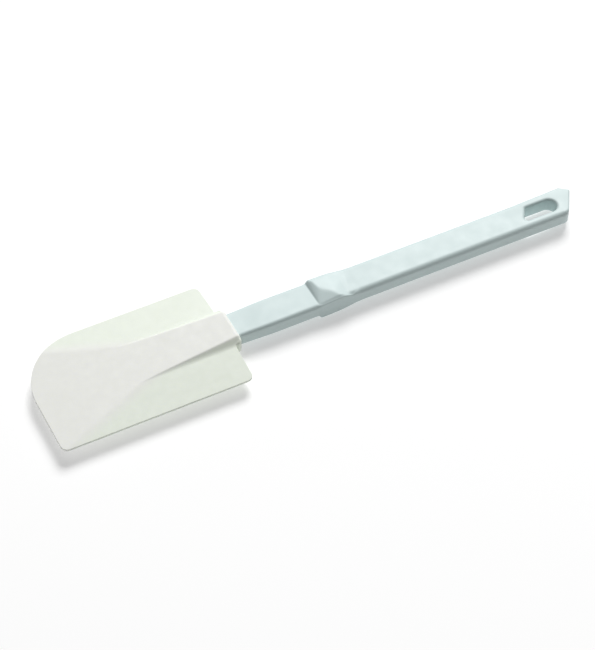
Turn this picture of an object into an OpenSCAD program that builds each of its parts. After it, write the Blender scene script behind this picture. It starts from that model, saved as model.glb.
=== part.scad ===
// Bowl scraper: a flexible rubber blade moulded onto the flat tongue of a one-piece plastic handle.
// The blade edge faces -X, the handle runs to +X, and the blade lies parallel to the XY plane.

/* [Overall] */
// Length from the blade's front edge to the hanging end
overall_l = 345; // [330:1:380]

/* [Blade] */
// Length of the blade along the handle
blade_l = 114.8; // [110:0.1:125]
// Width of the blade
blade_w = 75; // [70:1:85]
// Thickness of the blade at its working edges
edge_t = 1.3; // [1:0.1:2]
// Radius of the one large rounded corner
big_corner_r = 37.5; // [25:0.5:37.5]
// Radius of the other three corners
small_corner_r = 4; // [2:0.5:8]
// Half thickness that the two wings would reach on the centre line
wing_ridge_h = 4.9; // [4:0.1:5.2]
// Half thickness over the rib where the handle comes out
rib_h = 6.2; // [5.9:0.1:7]
// Distance that the rib's collar stands out behind the wings
collar_l = 4.7; // [3:0.1:6]

/* [Flex line] */
// Distance of the line that the free lip bends about from the front edge
flex_x = 50; // [45:1:54]

/* [Shank] */
// Width of the shank at the collar
shank_w = 19; // [17:0.2:19.2]
// Thickness of the shank
shank_t = 9.6; // [8.8:0.2:10]

/* [Grip] */
// Width of the grip
grip_w = 20.4; // [19.6:0.2:22]
// Thickness of the grip
grip_t = 10.2; // [9.8:0.2:11]
// Rounding of the grip's long edges
grip_r = 3; // [1.4:0.2:3.4]
// Distance of the raised step's front from the blade's front edge
step_x = 170; // [160:1:185]
// Half thickness at the crest of the raised step
step_h = 7.5; // [7:0.1:9]

/* [Hanging slot] */
// Width of the slot
slot_w = 9.4; // [8:0.2:11]
// Length of the slot along its centre line
slot_l = 21.2; // [16:0.2:24]
// Plastic left between the slot's round end and the hanging end
slot_margin = 12.9; // [11:0.1:15]
// Slant of the hanging end and of the slot's flat end
end_slant = 31.5; // [0:0.5:35]

/* [Hidden] */
$fn = 64;
eps = 0.01;
rest_z = step_h;                     // height of the mid-plane above the surface it lies on
mid_x = overall_l / 2;               // the origin is under the middle of the length
half_edge = edge_t / 2;
collar_x = blade_l + collar_l;
wedge_slope = (rib_h - half_edge) / collar_x;
wing_slope = (wing_ridge_h - half_edge) / (blade_w / 2);
rib_top_w = 19;                      // rib's flat top at the collar
rib_foot_w = 27.6;                   // rib where its sloping walls meet the wings
rib_foot_h = wing_ridge_h - wing_slope * rib_foot_w / 2;
wall_slope = (rib_foot_w - rib_top_w) / 2 / (rib_h - rib_foot_h);
shank_r = 2;                         // rounding of the shank's long edges
shank_rear_w = grip_w - 0.4;         // width of the shank where it meets the step
collar_corner = 2.4;                 // bevel of the collar's two corners in plan
tongue_x = 66;                       // front end of the handle's tongue
tongue_w = 14;
tongue_t = 4;
shank_root_x = 100;                  // where the tongue has grown to the full shank
key_hole_r = 3;
key_hole_xs = [76, 90];
lip_r = half_edge + wedge_slope * flex_x + 0.2;   // round rear edge of the free lip
base_r = lip_r + 0.5;                             // hollow front edge that faces it
crest = [[1.6, 9.7, 0.92], [3.3, 6.9, 1], [4.9, 0, 1], [10.4, -4.1, 1],
         [14.3, -8.8, 0.81], [18.5, -10.4, 0.6]]; // x from the step's front, y, share of step_h
step_l = 23;                         // length over which the step falls back to the grip
inside_grip = 0.1;                   // how much slimmer the step's rear end is, to end inside the grip
crest_tip = 0.2;                     // size of the small cubes that the crest is stretched over
end_chamfer = [6, 4.6];              // cut off the hanging end's leading corner

// Plan outline of the blade: one large corner, three small ones
module blade_outline() {
    r = small_corner_r;
    y = blade_w / 2;
    hull() {
        translate([big_corner_r, y - big_corner_r]) circle(big_corner_r);
        for (p = [[r, r - y], [blade_l - r, r - y], [blade_l - r, y - r]]) translate(p) circle(r);
    }
}

// Wings with a shallow roof shape above and below, thinning towards both long edges
module wings() {
    y = blade_w / 2;
    rotate([90, 0, 90]) linear_extrude(blade_l)
        polygon([[-y, -half_edge], [0, -wing_ridge_h], [y, -half_edge],
                 [y, half_edge], [0, wing_ridge_h], [-y, half_edge]]);
}

// Rib with sloping side walls, highest at the collar
module rib() {
    foot = rib_foot_w / 2;
    deep = rib_h + 1;
    top = rib_top_w / 2 - wall_slope;
    rotate([90, 0, 90]) linear_extrude(collar_x)
        polygon([[-foot, -rib_foot_h], [-top, -deep], [top, -deep], [foot, -rib_foot_h],
                 [foot, rib_foot_h], [top, deep], [-top, deep], [-foot, rib_foot_h]]);
}

// Plan outline of the rib from the flex line to the collar, whose two corners are bevelled
module rib_outline() {
    y = rib_foot_w / 2;
    c = collar_corner;
    polygon([[flex_x, -y], [collar_x - c, -y], [collar_x, c - y],
             [collar_x, y - c], [collar_x - c, y], [flex_x, y]]);
}

// Wedge that thins from the collar to the front edge, the same above and below
module wedge() {
    rotate([90, 0, 0]) linear_extrude(blade_w + 2, center = true)
        polygon([[0, -half_edge], [collar_x, -rib_h], [collar_x, rib_h], [0, half_edge]]);
}

// Round bar along the line that the lip bends about
module flex_line(r) {
    translate([flex_x, 0, 0]) rotate([90, 0, 0]) cylinder(r = r, h = 2 * blade_w, center = true);
}

// Whole blade without the space for the tongue
module blade_body() {
    intersection() {
        wedge();
        union() {
            intersection() {
                wings();
                translate([0, 0, -rib_h]) linear_extrude(2 * rib_h) blade_outline();
            }
            intersection() {
                rib();
                linear_extrude(2 * rib_h, center = true) rib_outline();
            }
        }
    }
}

// Flat tongue that the rubber grips, growing until it just fits inside the shank's rounded edges
module tongue() {
    inside = shank_r + 0.2;
    w = shank_w / 2 - inside;
    t = shank_t / 2 - inside;
    intersection() {
        linear_extrude(shank_t, center = true)
            polygon([[tongue_x, -tongue_w / 2], [shank_root_x, -w], [collar_x, -w],
                     [collar_x, w], [shank_root_x, w], [tongue_x, tongue_w / 2]]);
        rotate([90, 0, 0]) linear_extrude(shank_w + 2, center = true)
            polygon([[tongue_x, -tongue_t / 2], [shank_root_x, -t], [collar_x, -t],
                     [collar_x, t], [shank_root_x, t], [tongue_x, tongue_t / 2]]);
    }
}

// Cylinders through the tongue, which the rubber fills
module keys(h) {
    for (x = key_hole_xs) translate([x, 0, 0]) cylinder(r = key_hole_r, h = h, center = true);
}

// Bar along X with a rounded rectangular section
module bar(x, l, w, t, r) {
    translate([x, 0, 0]) rotate([90, 0, 90]) linear_extrude(l) hull()
        for (y = [-1, 1], z = [-1, 1]) translate([y * (w / 2 - r), z * (t / 2 - r)]) circle(r, $fn = 24);
}

// Straight shank between the collar and the step, a little slimmer at the collar
module shank() {
    hull() {
        bar(collar_x - eps, eps, shank_w, shank_t, shank_r);
        bar(step_x - eps, eps, shank_rear_w, shank_t, shank_r);
    }
}

// Raised step: its crest is square on one side and swept back on the other, turned over below
module step() {
    hull() {
        bar(step_x - eps, eps, shank_rear_w, shank_t, shank_r);
        bar(step_x + step_l, eps, grip_w - inside_grip, grip_t - inside_grip, grip_r);
        for (s = [1, -1], p = crest) translate([step_x + p[0], s * p[1], s * (p[2] * step_h - crest_tip / 2)])
            cube(crest_tip, center = true);
    }
}

// Where the slanted hanging end lies at a given y
function end_at(y) = overall_l - (grip_w / 2 - end_chamfer[1] - y) * tan(end_slant);

// Where the slot's flat end lies at a given y
function slot_start_at(y) = overall_l - slot_margin - slot_l + y * tan(end_slant);

// Points of an arc, from angle a to angle b
function arc(c, r, a, b, n = 6) =
    [for (i = [0:n]) c + r * [cos(a + (b - a) * i / n), sin(a + (b - a) * i / n)]];

// Plan outline of the grip with its slanted, chamfered end
module grip_outline() {
    y = grip_w / 2;
    near_r = 5.5;
    tip_r = 1.2;
    top_r = 2;
    start = step_x + step_l - eps;
    chamfer_a = atan2(end_chamfer[0], end_chamfer[1]);
    polygon(concat(
        [[start, -y]],
        arc([end_at(near_r - y) - near_r / cos(end_slant), near_r - y], near_r, -90, -end_slant),
        arc([overall_l - tip_r, y - end_chamfer[1]], tip_r, -end_slant, chamfer_a),
        arc([overall_l - end_chamfer[0], y - top_r], top_r, chamfer_a, 90),
        [[start, y]]));
}

// Plan outline of the hanging slot: flat slanted end and round end
module slot_outline() {
    y = slot_w / 2;
    r = 1.6;
    round_x = overall_l - slot_margin - y;
    translate([round_x, 0]) circle(y);
    polygon(concat(
        [[round_x, -y], [round_x, y]],
        arc([slot_start_at(y - r) + r / cos(end_slant), y - r], r, 90, 180 - end_slant),
        arc([slot_start_at(r - y) + r / cos(end_slant), r - y], r, 180 - end_slant, 270)));
}

// Grip with rounded long edges, from the step to the hanging end
module grip() {
    intersection() {
        translate([step_x + step_l, 0, 0]) rotate([90, 0, 90])
            linear_extrude(overall_l - step_x - step_l) hull()
            for (y = [-1, 1], z = [-1, 1])
                translate([y * (grip_w / 2 - grip_r), z * (grip_t / 2 - grip_r)]) circle(grip_r);
        linear_extrude(grip_t, center = true) grip_outline();
    }
}

// Puts the design's coordinates into the part's frame
module place() {
    translate([-mid_x, 0, rest_z]) children();
}

// One-piece handle, with the hanging slot and the holes that key the rubber
module handle() {
    color([0.86, 0.93, 0.93]) place() difference() {
        union() {
            tongue();
            shank();
            step();
            grip();
        }
        keys(shank_t + 2);
        linear_extrude(grip_t + 2, center = true) slot_outline();
    }
}

// Rear of the blade: wings, rib and the socket round the tongue
module blade_base() {
    color([0.93, 0.94, 0.90]) place() difference() {
        intersection() {
            blade_body();
            translate([flex_x, -blade_w, -rib_h]) cube([collar_x, 2 * blade_w, 2 * rib_h]);
        }
        flex_line(base_r);
        difference() {
            tongue();
            keys(shank_t);
        }
    }
}

// Front of the blade: the free lip, with a round rear edge that turns in the base's hollow
module blade_lip() {
    color([0.91, 0.92, 0.89]) place() intersection() {
        blade_body();
        union() {
            translate([-1, -blade_w, -rib_h]) cube([flex_x + 1, 2 * blade_w, 2 * rib_h]);
            flex_line(lip_r);
        }
    }
}

handle();
blade_base();
blade_lip();
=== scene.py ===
"""Looks for the bowl scraper: a rubber blade moulded onto a plastic handle.

Shapes are worked out in millimetres from the blade's front edge (x), the centre line (y) and the
mid-plane (z), and point() places them in the row frame.
"""

import math

import bmesh
import bpy
from mathutils import Matrix, Vector


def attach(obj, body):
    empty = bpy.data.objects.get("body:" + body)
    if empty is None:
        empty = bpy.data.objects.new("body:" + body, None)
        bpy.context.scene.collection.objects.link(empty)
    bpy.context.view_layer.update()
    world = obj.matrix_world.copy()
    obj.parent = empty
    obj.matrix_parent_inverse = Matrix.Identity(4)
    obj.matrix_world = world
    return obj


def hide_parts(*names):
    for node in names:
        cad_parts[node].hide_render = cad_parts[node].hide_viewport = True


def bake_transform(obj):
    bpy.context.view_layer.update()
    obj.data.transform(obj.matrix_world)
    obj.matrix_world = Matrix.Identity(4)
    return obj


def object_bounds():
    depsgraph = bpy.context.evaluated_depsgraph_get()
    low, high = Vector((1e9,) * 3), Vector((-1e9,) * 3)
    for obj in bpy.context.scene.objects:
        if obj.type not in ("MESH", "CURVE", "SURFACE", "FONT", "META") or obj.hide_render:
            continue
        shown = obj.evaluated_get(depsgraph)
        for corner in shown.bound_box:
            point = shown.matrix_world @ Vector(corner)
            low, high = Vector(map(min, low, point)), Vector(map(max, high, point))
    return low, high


MM = 0.001
TINY = 1e-6
RIM_STEPS = 5                # rings of points round each quarter of a rounded edge
MOST_DROP = 0.62             # share of the half thickness that a rounded edge may take

# Blade
BLADE_L = 114.8
BLADE_HALF_W = 37.5
EDGE_HALF_T = 0.65           # half thickness at the working edges
BIG_R = 37.5                 # the one large corner
SMALL_R = 4.0                # the other three
WING_RIDGE = 4.9             # half thickness that the wings would reach on the centre line
RIB_H = 6.2                  # half thickness over the rib at the collar
RIB_FOOT = 13.7              # half width where the rib's walls meet the wings
RIB_TOP = 9.6                # half width of the rib's flat top
WALL_FILLET = 0.8            # between a rib wall and a wing
CREASE_SOFT = (0.1, 0.4)     # edge of the wedge: over the wings, and over the rib's walls
CREASE_FADE = 1.2
COLLAR_X = 119.5             # rear face of the collar
COLLAR_HALF_W = 13.6
COLLAR_CORNER = 2.6
COLLAR_NOTCH = 0.6           # hollow where the collar leaves the blade's rear edge
COLLAR_SIDE_ROUND = 1.6
COLLAR_ROUND = 2.0
EDGE_ROUND = 0.18
THIN = "thin"                # attribute: 1 where the surface lies THIN_DEPTH or more below the wedge
THIN_DEPTH = 0.8

# Handle
STEP_X = 170.0               # front of the raised step
STEP_L = 23.0
STEP_H = 7.5                 # half thickness at its crest
STEP_EDGE_HALF_W = 9.95
STEP_CUT = 1.2               # how far the step's near facet cuts into the shank's edge
GRIP_HALF_W = 10.2
GRIP_HALF_T = 5.1
GRIP_ROUND = 3.0
SHANK_ROUND = 2.3
END_X = 345.0
END_SLANT = math.radians(31.5)
END_ROUND = 1.0
CHAMFER = (6.0, 4.6)
END_GRID_X = 305.0           # the rows across the grip end here, and the grid round the slot begins
SLOT_HALF_W = 4.7
SLOT_ROUND_X = 327.4         # centre of the slot's round end
SLOT_FLAT_X = 310.9          # middle of its flat end
SLOT_CORNER = 1.6
SLOT_ROUND = 1.7
ROW_COLUMNS = 28
SPOKE_STEPS = 6

# Crest of the step: x from the step's front, y, share of STEP_H
CREST = [(1.1, 9.7, 0.82), (3.1, 7.2, 1.0), (4.9, 0.0, 1.0), (10.4, -4.1, 0.98),
         (14.3, -8.8, 0.86), (18.5, -10.2, 0.66), (21.2, -10.2, 0.36)]

# Tongue, shank and grip: stops of (x, half width), (x, half thickness) and (x, edge rounding)
TONGUE_X = 66
HALF_W = [(TONGUE_X, 7.0), (84, 7.2), (112, 9.2), (121, 9.4), (144, STEP_EDGE_HALF_W),
          (170, STEP_EDGE_HALF_W), (196, GRIP_HALF_W)]
HALF_T = [(TONGUE_X, 2.0), (84, 2.0), (112, 4.4), (121, 4.5), (144, 4.8), (170, 4.8), (194, GRIP_HALF_T)]
SHANK_ROUNDS = [(TONGUE_X, 1.0), (118, 2.0), (168, SHANK_ROUND)]
BODY_ROUNDS = SHANK_ROUNDS + [(196, GRIP_ROUND)]
FAR_ROUNDS = SHANK_ROUNDS + [(172, 1.1), (180, 1.2), (200, GRIP_ROUND)]
NEAR_ROUNDS = SHANK_ROUNDS + [(172, 0.7), (191, 0.7), (197, GRIP_ROUND)]

# Step: how soft its facets' edges are, its fillet behind the crest, and where only its facets count
FACET_SOFT = 0.5
STEP_FILLETS = [(STEP_X + 14, 0.25), (STEP_X + STEP_L, 1.2)]
FACETS_ONLY = [(STEP_X - 0.4, 0), (STEP_X + 0.8, 1), (STEP_X + 16, 1), (STEP_X + 21, 0)]
STEP_REACH = (STEP_X - 2, STEP_X + STEP_L + 9)

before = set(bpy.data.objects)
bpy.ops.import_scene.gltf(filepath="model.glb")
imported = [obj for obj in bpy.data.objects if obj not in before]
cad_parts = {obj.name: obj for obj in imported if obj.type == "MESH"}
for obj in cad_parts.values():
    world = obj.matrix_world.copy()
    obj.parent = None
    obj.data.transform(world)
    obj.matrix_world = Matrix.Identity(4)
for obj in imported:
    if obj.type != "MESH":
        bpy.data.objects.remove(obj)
cad_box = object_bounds()
low, high = Vector(cad_box[0]), Vector(cad_box[1])
front_x = low.x
mid_z = (low.z + high.z) / 2


def point(x, y, z):
    """A point in the row frame, in metres, from design millimetres."""
    return Vector((front_x + x * MM, y * MM, mid_z + z * MM))


def lerp(a, b, t):
    return a + (b - a) * t


def clamp(value, lowest=0.0, highest=1.0):
    return max(lowest, min(highest, value))


def ramp(x, stops):
    """A value that runs smoothly between the (x, value) stops."""
    for (x0, v0), (x1, v1) in zip(stops, stops[1:]):
        if x < x1:
            t = clamp((x - x0) / (x1 - x0))
            return lerp(v0, v1, t * t * (3 - 2 * t))
    return stops[-1][1]


def soft_max(a, b, width):
    """The larger of two heights, with a fillet where they are within width of each other."""
    h = clamp(width - abs(a - b), 0, width) / width
    return max(a, b) + h * h * width / 4


def soft_min(a, b, width):
    return -soft_max(-a, -b, width)


# ---- outlines: samples of (x, y, inward normal x, inward normal y, rim radius), anticlockwise ----

def line(x0, y0, x1, y1, rim0, rim1=None, step=0.25):
    rim1 = rim0 if rim1 is None else rim1
    length = math.hypot(x1 - x0, y1 - y0)
    nx, ny = -(y1 - y0) / length, (x1 - x0) / length
    count = max(2, round(length / step))
    return [(lerp(x0, x1, i / count), lerp(y0, y1, i / count), nx, ny, lerp(rim0, rim1, i / count))
            for i in range(count + 1)]


def arc(cx, cy, r, start, end, rim0, rim1=None, count=24):
    """A round stretch in degrees; one that runs backwards is hollow, so its normals point outwards."""
    rim1 = rim0 if rim1 is None else rim1
    side = -1 if end > start else 1
    samples = []
    for i in range(count + 1):
        a = math.radians(lerp(start, end, i / count))
        samples.append((cx + r * math.cos(a), cy + r * math.sin(a), side * math.cos(a),
                        side * math.sin(a), lerp(rim0, rim1, i / count)))
    return samples


def lengths(samples):
    """Share of the whole length at each sample."""
    total = [0.0]
    for a, b in zip(samples, samples[1:]):
        total.append(total[-1] + math.hypot(b[0] - a[0], b[1] - a[1]))
    return [t / total[-1] for t in total]


def resample(samples, shares):
    """The samples at the given shares of the length."""
    at = lengths(samples)
    picked, i = [], 0
    for share in shares:
        while i < len(at) - 2 and at[i + 1] < share:
            i += 1
        t = clamp((share - at[i]) / max(at[i + 1] - at[i], 1e-9))
        picked.append(tuple(lerp(p, q, t) for p, q in zip(samples[i], samples[i + 1])))
    return picked


def inset(sample):
    x, y, nx, ny, rim = sample
    return x + nx * rim, y + ny * rim


class Shell:
    """Collects quads and welds them where their corners meet."""

    def __init__(self):
        self.bm = bmesh.new()

    def grid(self, rows, closed=False):
        made = [[self.bm.verts.new(point(*p)) for p in row] for row in rows]
        pairs = list(zip(made, made[1:])) + ([(made[-1], made[0])] if closed else [])
        for a, b in pairs:
            for j in range(len(a) - 1):
                self.bm.faces.new((a[j], b[j], b[j + 1], a[j + 1]))

    def finish(self, name, material):
        bmesh.ops.remove_doubles(self.bm, verts=self.bm.verts, dist=TINY)
        bmesh.ops.holes_fill(self.bm, edges=[e for e in self.bm.edges if e.is_boundary], sides=0)
        bmesh.ops.recalc_face_normals(self.bm, faces=self.bm.faces)
        mesh = bpy.data.meshes.new(name)
        self.bm.to_mesh(mesh)
        self.bm.free()
        mesh.shade_smooth()
        mesh.materials.append(material)
        piece = bpy.data.objects.new(name, mesh)
        bpy.context.scene.collection.objects.link(piece)
        return piece


def rim_column(sample, top, bottom, rim_top=None, rim_bottom=None):
    """Points down the rounded edge at an outline sample, from the top face to the bottom face."""
    x, y, nx, ny, rim = sample
    column = []
    for sign, height, r in ((1, top, rim_top or rim), (-1, bottom, rim_bottom or rim)):
        ix, iy = x + nx * r, y + ny * r
        z = height(ix, iy)
        drop = min(r, MOST_DROP * z)
        half = []
        for k in range(RIM_STEPS + 1):
            a = math.pi / 2 * k / RIM_STEPS
            half.append((ix - nx * r * math.sin(a), iy - ny * r * math.sin(a),
                         sign * (z - drop * (1 - math.cos(a)))))
        column += half if sign > 0 else half[::-1]
    return column


# ---- blade ----

def wedge_height(x):
    """Half thickness of the wedge that thins from the collar to the front edge."""
    return EDGE_HALF_T + (RIB_H - EDGE_HALF_T) * x / COLLAR_X


def blade_height(x, y):
    """Half thickness: wings under a wedge, with the rib's sloping walls between them."""
    wedge = wedge_height(x)
    fall = (WING_RIDGE - EDGE_HALF_T) / BLADE_HALF_W
    wing = WING_RIDGE - fall * abs(y)
    foot_z = WING_RIDGE - fall * RIB_FOOT
    wall = foot_z + (RIB_H - foot_z) * (RIB_FOOT - abs(y)) / (RIB_FOOT - RIB_TOP)
    on_wall = clamp((wall - wing) / CREASE_FADE)
    return soft_min(wedge, soft_max(wing, wall, WALL_FILLET), lerp(*CREASE_SOFT, on_wall))


def blade_sides():
    """The outline's four sides, each from its near or front end to its far or rear end."""
    w, r, e, c, s = BLADE_HALF_W, SMALL_R, EDGE_ROUND, COLLAR_ROUND, COLLAR_SIDE_ROUND
    hollow, corner, side_y = COLLAR_NOTCH, COLLAR_CORNER, COLLAR_HALF_W
    near = (arc(r, r - w, r, 225, 270, e) + line(r, -w, BLADE_L - r, -w, e)
            + arc(BLADE_L - r, r - w, r, 270, 315, e))
    far = (arc(BLADE_L - r, w - r, r, 45, 90, e) + line(BLADE_L - r, w, BIG_R, w, e)
           + arc(BIG_R, w - BIG_R, BIG_R, 90, 135, e, count=90))[::-1]
    front = (arc(BIG_R, w - BIG_R, BIG_R, 135, 180, e, count=90)
             + line(0, w - BIG_R, 0, r - w, e) + arc(r, r - w, r, 180, 225, e))[::-1]
    half = (line(BLADE_L, r - w, BLADE_L, -side_y - hollow, e)
            + arc(BLADE_L + hollow, -side_y - hollow, hollow, 180, 90, e, hollow, count=8)
            + line(BLADE_L + hollow, -side_y, COLLAR_X - corner, -side_y, hollow, s)
            + arc(COLLAR_X - corner, corner - side_y, corner, -90, 0, s, c)
            + line(COLLAR_X, corner - side_y, COLLAR_X, 0, c))
    mirrored = [(x, -y, nx, -ny, rim) for x, y, nx, ny, rim in half[::-1]]
    back = (arc(BLADE_L - r, r - w, r, 315, 360, e) + half + mirrored
            + arc(BLADE_L - r, w - r, r, 0, 45, e))
    return near, far, front, back


def shares_by_spacing(samples, spacing):
    """Shares of the length whose steps follow spacing(x, y), in millimetres."""
    at = lengths(samples)
    total = sum(math.hypot(b[0] - a[0], b[1] - a[1]) for a, b in zip(samples, samples[1:]))
    need = [0.0]
    for i in range(1, len(samples)):
        step = (at[i] - at[i - 1]) * total
        need.append(need[-1] + step / spacing(samples[i][0], samples[i][1]))
    count = round(need[-1])
    shares, i = [0.0], 0
    for k in range(1, count):
        want = need[-1] * k / count
        while need[i + 1] < want:
            i += 1
        shares.append(lerp(at[i], at[i + 1], (want - need[i]) / max(need[i + 1] - need[i], 1e-9)))
    return shares + [1.0]


def across_spacing(x, y):
    """Fine over the rib's walls and along the long edges."""
    on_wall = RIB_TOP - 1.1 < abs(y) < RIB_FOOT + 1.1
    return 0.35 if on_wall or abs(y) > BLADE_HALF_W - 2.5 else 1.1


def along_spacing(x, y):
    """Fine at the front and rear edges."""
    return 0.6 if x < 3 or x > BLADE_L - 2.8 else 1.2


def make_blade(material):
    """One closed mesh: a grid that fills the outline, above and below, and a rounded rim."""
    near, far, front, back = blade_sides()
    across = shares_by_spacing(back, across_spacing)
    along = shares_by_spacing(near, along_spacing)
    near, far = resample(near, along), resample(far, along)
    front, back = resample(front, across), resample(back, across)
    corner = [[Vector(inset(s)) for s in pair] for pair in ((front[0], front[-1]), (back[0], back[-1]))]
    rows = []
    for i, u in enumerate(along):
        row = []
        for j, v in enumerate(across):
            p = (lerp(Vector(inset(front[j])), Vector(inset(back[j])), u)
                 + lerp(Vector(inset(near[i])), Vector(inset(far[i])), v)
                 - lerp(lerp(corner[0][0], corner[0][1], v), lerp(corner[1][0], corner[1][1], v), u))
            row.append((p.x, p.y, blade_height(p.x, p.y)))
        rows.append(row)
    shell = Shell()
    shell.grid(rows)
    shell.grid([[(x, y, -z) for x, y, z in row] for row in rows])
    ring = near[:-1] + back[:-1] + far[::-1][:-1] + front[::-1][:-1]
    shell.grid([rim_column(s, blade_height, blade_height) for s in ring], closed=True)
    piece = shell.finish("rubber_blade", material)
    thin = piece.data.attributes.new(THIN, "FLOAT", "POINT")
    for vertex, value in zip(piece.data.vertices, thin.data):
        x, y = (vertex.co.x - front_x) / MM, vertex.co.y / MM
        value.value = clamp((wedge_height(x) - blade_height(x, y)) / THIN_DEPTH)
    return piece


# ---- handle ----

def step_planes():
    """Planes over the raised step: the upper side of the hull round its crest and its two ends."""
    points = [Vector((STEP_X + x, y, z * STEP_H)) for x, y, z in CREST]
    shank_t = ramp(STEP_X, HALF_T)
    points += [Vector((STEP_X, -STEP_EDGE_HALF_W, shank_t - STEP_CUT)),
               Vector((STEP_X, STEP_CUT - STEP_EDGE_HALF_W, shank_t)),
               Vector((STEP_X, STEP_EDGE_HALF_W, shank_t)),
               Vector((STEP_X + STEP_L, -GRIP_HALF_W, GRIP_HALF_T - GRIP_ROUND)),
               Vector((STEP_X + STEP_L, GRIP_HALF_W, GRIP_HALF_T))]
    planes = []
    for i, a in enumerate(points):
        for j in range(i + 1, len(points)):
            for c in points[j + 1:]:
                n = (points[j] - a).cross(c - a)
                if abs(n.z) < TINY:
                    continue
                n /= n.z
                if all((p - a).dot(n) < TINY for p in points):
                    planes.append((a, n))
    return planes


STEP_PLANES = step_planes()


def handle_top(x, y):
    """Height of the upper face. The lower face is the same one turned over about the x axis."""
    if x > END_GRID_X:
        return GRIP_HALF_T
    r = ramp(x, BODY_ROUNDS)
    past = clamp(r - (ramp(x, HALF_W) - abs(y)), 0, r)
    base = ramp(x, HALF_T) - r + math.sqrt(r * r - past * past)
    if not STEP_REACH[0] < x < STEP_REACH[1]:
        return base
    raised = None
    for a, n in STEP_PLANES:
        z = a.z - ((x - a.x) * n.x + (y - a.y) * n.y)
        raised = z if raised is None else soft_min(raised, z, FACET_SOFT)
    filleted = soft_max(base, raised, ramp(x, STEP_FILLETS))
    return lerp(filleted, raised, ramp(x, FACETS_ONLY))


def handle_bottom(x, y):
    return handle_top(x, -y)


def end_outline():
    """The hanging end, from the near side round the slanted end to the far side."""
    w, slant = GRIP_HALF_W, math.degrees(END_SLANT)
    near_r, tip_r, top_r = 5.5, 1.2, 2.0
    near_rim, top_rim = 2.8, 1.2
    near_y = near_r - w
    end_at_near = END_X - (w - CHAMFER[1] - near_y) * math.tan(END_SLANT)
    near_c = (end_at_near - near_r / math.cos(END_SLANT), near_y)
    tip_c = (END_X - tip_r, w - CHAMFER[1])
    top_c = (END_X - CHAMFER[0], w - top_r)
    chamfer = math.degrees(math.atan2(CHAMFER[0], CHAMFER[1]))
    parts = [line(END_GRID_X, -w, near_c[0], -w, GRIP_ROUND, near_rim, 1.0),
             arc(*near_c, near_r, -90, -slant, near_rim, END_ROUND, 12),
             arc(*tip_c, tip_r, -slant, chamfer, END_ROUND, count=8),
             arc(*top_c, top_r, chamfer, 90, END_ROUND, top_rim, 6),
             line(top_c[0], w, END_GRID_X, w, top_rim, GRIP_ROUND, 1.0)]
    joined = parts[0]
    for part in parts[1:]:
        a, b = joined[-1], part[0]
        if math.hypot(b[0] - a[0], b[1] - a[1]) > 0.01:
            joined += line(a[0], a[1], b[0], b[1], a[4], b[4], 1.0)[1:-1]
            joined.append(part[0])
        joined += part[1:]
    return joined


def slot_outline():
    """Dense samples of the hanging slot; their normals point into the plastic."""
    w, r, slant = SLOT_HALF_W, SLOT_CORNER, math.degrees(END_SLANT)
    flat_at = lambda y: SLOT_FLAT_X + y * math.tan(END_SLANT)
    top = (flat_at(w - r) + r / math.cos(END_SLANT), w - r)
    low_c = (flat_at(r - w) + r / math.cos(END_SLANT), r - w)
    rim = SLOT_ROUND
    parts = [arc(SLOT_ROUND_X, 0, w, -90, 90, rim, count=60),
             line(SLOT_ROUND_X, w, top[0], w, rim), arc(*top, r, 90, 180 - slant, rim, count=20)]
    low_part = arc(*low_c, r, 180 - slant, 270, rim, count=30)
    parts.append(line(parts[-1][-1][0], parts[-1][-1][1], low_part[0][0], low_part[0][1], rim))
    parts += [low_part, line(low_c[0], -w, SLOT_ROUND_X, -w, rim)]
    return [(x, y, -nx, -ny, rim) for part in parts for x, y, nx, ny, rim in part]


def stations(start, step, count):
    return [start + step * i for i in range(count)]


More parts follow.
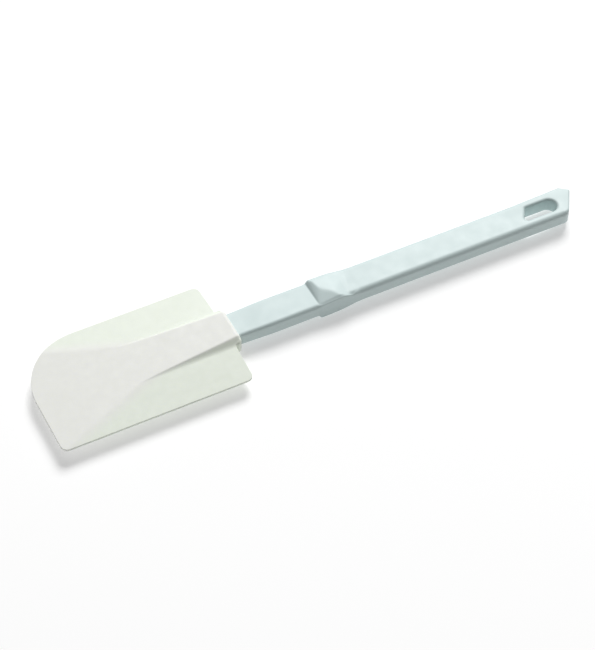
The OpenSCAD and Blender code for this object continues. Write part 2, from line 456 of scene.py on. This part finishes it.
def make_handle(material):
    """One closed mesh: rows along the handle, a rim round it, and spokes from the rim to the slot.

    Each sample of the rim carries its rounding above and below, which differ at the step.
    """
    shell = Shell()
    tongue, shank = stations(TONGUE_X, 3.25, 17), stations(119, 3.5, 14)
    raised, grip = stations(168, 0.4, 90), stations(205, 5, 21)
    near, far = [], []
    for x in tongue + shank + raised + grip:
        w, near_rim, far_rim = ramp(x, HALF_W), ramp(x, NEAR_ROUNDS), ramp(x, FAR_ROUNDS)
        near.append(((x, -w, 0, 1, 0), near_rim, far_rim))
        far.append(((x, w, 0, -1, 0), far_rim, near_rim))
    end = [(s[:4] + (0,), s[4], s[4]) for s in end_outline()]
    chain = near[:-1] + end + far[:-1][::-1]
    shell.grid([rim_column(s, handle_top, handle_bottom, rt, rb) for s, rt, rb in chain])

    slot = slot_outline()
    for side, height in ((1, handle_top), (-1, handle_bottom)):
        pick = 1 if side > 0 else 2
        rows = []
        for a, b in zip(near, far):
            y0, y1 = a[0][1] + a[pick], b[0][1] - b[pick]
            ys = [lerp(y0, y1, j / ROW_COLUMNS) for j in range(ROW_COLUMNS + 1)]
            rows.append([(a[0][0], y, side * height(a[0][0], y)) for y in ys])
        shell.grid(rows)
        ring = [inset(s[:4] + (r_top,)) for s, r_top, _ in end]
        ring += [p[:2] for p in rows[-1][-2:0:-1]]
        spokes = []
        for x, y in ring:
            s = min(slot, key=lambda q: math.hypot(q[0] - x, q[1] - y))
            inner = inset(s)
            shares = [k / SPOKE_STEPS for k in range(SPOKE_STEPS + 1)]
            spoke = [(lerp(x, inner[0], t), lerp(y, inner[1], t), side * GRIP_HALF_T) for t in shares]
            for k in range(1, RIM_STEPS + 1):
                a = math.pi / 2 * k / RIM_STEPS
                out = s[4] * (1 - math.sin(a))
                spoke.append((s[0] + s[2] * out, s[1] + s[3] * out,
                              side * (GRIP_HALF_T - s[4] * (1 - math.cos(a)))))
            spokes.append(spoke)
        shell.grid(spokes, closed=True)
        if side > 0:
            upper = [spoke[-1] for spoke in spokes]
        else:
            shell.grid([[u, spoke[-1]] for u, spoke in zip(upper, spokes)], closed=True)
    return shell.finish("moulded_handle", material)


# ---- materials ----

def shader(name, colour, roughness):
    material = bpy.data.materials.new(name)
    material.use_nodes = True
    tree = material.node_tree
    bsdf = tree.nodes["Principled BSDF"]
    bsdf.inputs["Base Color"].default_value = (*colour, 1)
    bsdf.inputs["Roughness"].default_value = roughness
    return material, tree, bsdf


def noise(tree, scale, detail=3.0, rough=0.5):
    coords = tree.nodes.get("Coords") or tree.nodes.new("ShaderNodeTexCoord")
    coords.name = "Coords"
    node = tree.nodes.new("ShaderNodeTexNoise")
    node.inputs["Scale"].default_value = scale
    node.inputs["Detail"].default_value = detail
    node.inputs["Roughness"].default_value = rough
    tree.links.new(coords.outputs["Object"], node.inputs["Vector"])
    return node


def spread(tree, source, low_value, high_value):
    """The noise's middle range turned into low_value to high_value."""
    node = tree.nodes.new("ShaderNodeMapRange")
    node.inputs["From Min"].default_value = 0.3
    node.inputs["From Max"].default_value = 0.7
    node.inputs["To Min"].default_value = low_value
    node.inputs["To Max"].default_value = high_value
    tree.links.new(source, node.inputs["Value"])
    return node.outputs["Result"]


def tint(tree, source, dark, light):
    """A colour between dark and light, or between the outputs of two earlier tints."""
    mix = tree.nodes.new("ShaderNodeMix")
    mix.data_type = "RGBA"
    for socket, colour in ((mix.inputs["A"], dark), (mix.inputs["B"], light)):
        if isinstance(colour, tuple):
            socket.default_value = (*colour, 1)
        else:
            tree.links.new(colour, socket)
    tree.links.new(source, mix.inputs["Factor"])
    return mix.outputs["Result"]


def bump(tree, bsdf, layers):
    """Stacks bump layers of (height, distance in metres, strength)."""
    normal = None
    for height, distance, strength in layers:
        node = tree.nodes.new("ShaderNodeBump")
        node.inputs["Distance"].default_value = distance
        node.inputs["Strength"].default_value = strength
        tree.links.new(height, node.inputs["Height"])
        if normal:
            tree.links.new(normal, node.inputs["Normal"])
        normal = node.outputs["Normal"]
    tree.links.new(normal, bsdf.inputs["Normal"])


def plastic_material():
    """Cool white moulded plastic: satin, faintly uneven, with a fine grain."""
    material, tree, bsdf = shader("cool_white_plastic", (0.74, 0.85, 0.84), 0.5)
    cloudy, grain = noise(tree, 28), noise(tree, 900, 2)
    colour = tint(tree, spread(tree, cloudy.outputs["Fac"], 0, 1), (0.605, 0.715, 0.71), (0.62, 0.73, 0.725))
    tree.links.new(colour, bsdf.inputs["Base Color"])
    tree.links.new(spread(tree, noise(tree, 140, 4).outputs["Fac"], 0.47, 0.55), bsdf.inputs["Roughness"])
    bump(tree, bsdf, [(cloudy.outputs["Fac"], 0.0004, 0.03), (grain.outputs["Fac"], 0.00004, 0.35)])
    bsdf.inputs["IOR"].default_value = 1.49
    bsdf.inputs["Subsurface Weight"].default_value = 0.06
    bsdf.inputs["Subsurface Radius"].default_value = (0.002, 0.002, 0.002)
    return material


def rubber_material():
    """Warm white rubber: soft satin, with a little mould texture and the faintest mottling."""
    material, tree, bsdf = shader("warm_white_rubber", (0.83, 0.84, 0.79), 0.55)
    mottle, grain = noise(tree, 34, 4), noise(tree, 1300, 2)
    mottled = spread(tree, mottle.outputs["Fac"], 0, 1)
    rib = tint(tree, mottled, (0.825, 0.832, 0.79), (0.843, 0.85, 0.812))
    wing = tint(tree, mottled, (0.80, 0.85, 0.755), (0.818, 0.868, 0.777))
    thin = tree.nodes.new("ShaderNodeAttribute")
    thin.attribute_name = THIN
    tree.links.new(tint(tree, thin.outputs["Fac"], rib, wing), bsdf.inputs["Base Color"])
    tree.links.new(spread(tree, noise(tree, 220, 4).outputs["Fac"], 0.48, 0.64), bsdf.inputs["Roughness"])
    bump(tree, bsdf, [(mottle.outputs["Fac"], 0.0005, 0.015), (grain.outputs["Fac"], 0.00004, 0.4)])
    bsdf.inputs["IOR"].default_value = 1.43
    bsdf.inputs["Subsurface Weight"].default_value = 0.12
    bsdf.inputs["Subsurface Radius"].default_value = (0.003, 0.003, 0.0025)
    return material


# ---- stage: camera, lights, floor ----

CAMERA_TARGET = (154.0, -13.05, 0.0)
CAMERA_DISTANCE = 1270.9
CAMERA_AZIMUTH = math.radians(-118.14)
CAMERA_ELEVATION = math.radians(49.59)
CAMERA_ROLL = math.radians(1.38)
CAMERA_LENS = 124.48
FLOOR_HALF = 4.0
FLOOR_COLOUR = (0.66, 0.66, 0.66)
FLOOR_GLOW = 0.39
SKY_STRENGTH = 0.2
KEY_PLACE = (2.0, 2.6, 3.3)
KEY_SIZE = 2.2
KEY_WATTS = 238


def make_camera():
    """Looks down at the scraper from beyond its near long edge, from the target and the angles above."""
    back = Vector((math.cos(CAMERA_ELEVATION) * math.cos(CAMERA_AZIMUTH),
                   math.cos(CAMERA_ELEVATION) * math.sin(CAMERA_AZIMUTH), math.sin(CAMERA_ELEVATION)))
    right = Vector((-math.sin(CAMERA_AZIMUTH), math.cos(CAMERA_AZIMUTH), 0))
    rolled = Matrix((right, back.cross(right), back)).transposed() @ Matrix.Rotation(CAMERA_ROLL, 3, "Z")
    data = bpy.data.cameras.new("camera")
    data.lens = CAMERA_LENS
    data.sensor_width = 36
    camera = bpy.data.objects.new("camera", data)
    bpy.context.scene.collection.objects.link(camera)
    place = point(*CAMERA_TARGET) + back * CAMERA_DISTANCE * MM
    camera.matrix_world = Matrix.Translation(place) @ rolled.to_4x4()
    bpy.context.scene.camera = camera


def softbox(name, place, size, watts):
    """A square area light that faces the middle of the object."""
    data = bpy.data.lights.new(name, "AREA")
    data.size = size
    data.energy = watts
    light = bpy.data.objects.new(name, data)
    bpy.context.scene.collection.objects.link(light)
    light.location = place
    light.rotation_euler = Vector(place).to_track_quat("Z", "Y").to_euler()


def make_stage():
    """A pale floor that glows a little, an even sky and one large softbox."""
    half = FLOOR_HALF
    mesh = bpy.data.meshes.new("floor")
    mesh.from_pydata([(-half, -half, low.z), (half, -half, low.z), (half, half, low.z), (-half, half, low.z)],
                     [], [(0, 1, 2, 3)])
    material, _, bsdf = shader("floor", FLOOR_COLOUR, 0.9)
    bsdf.inputs["Emission Color"].default_value = (1, 1, 1, 1)
    bsdf.inputs["Emission Strength"].default_value = FLOOR_GLOW
    mesh.materials.append(material)
    floor = bpy.data.objects.new("floor", mesh)
    bpy.context.scene.collection.objects.link(floor)
    world = bpy.data.worlds.new("studio")
    world.use_nodes = True
    sky = world.node_tree.nodes["Background"]
    sky.inputs["Color"].default_value = (1, 1, 1, 1)
    sky.inputs["Strength"].default_value = SKY_STRENGTH
    bpy.context.scene.world = world
    bpy.context.scene.view_settings.view_transform = "Standard"
    softbox("key", KEY_PLACE, KEY_SIZE, KEY_WATTS)


make_camera()
make_stage()

blade = make_blade(rubber_material())
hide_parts("blade_base", "blade_lip")
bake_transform(blade)

handle = make_handle(plastic_material())
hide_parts("handle")
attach(handle, "scraper")
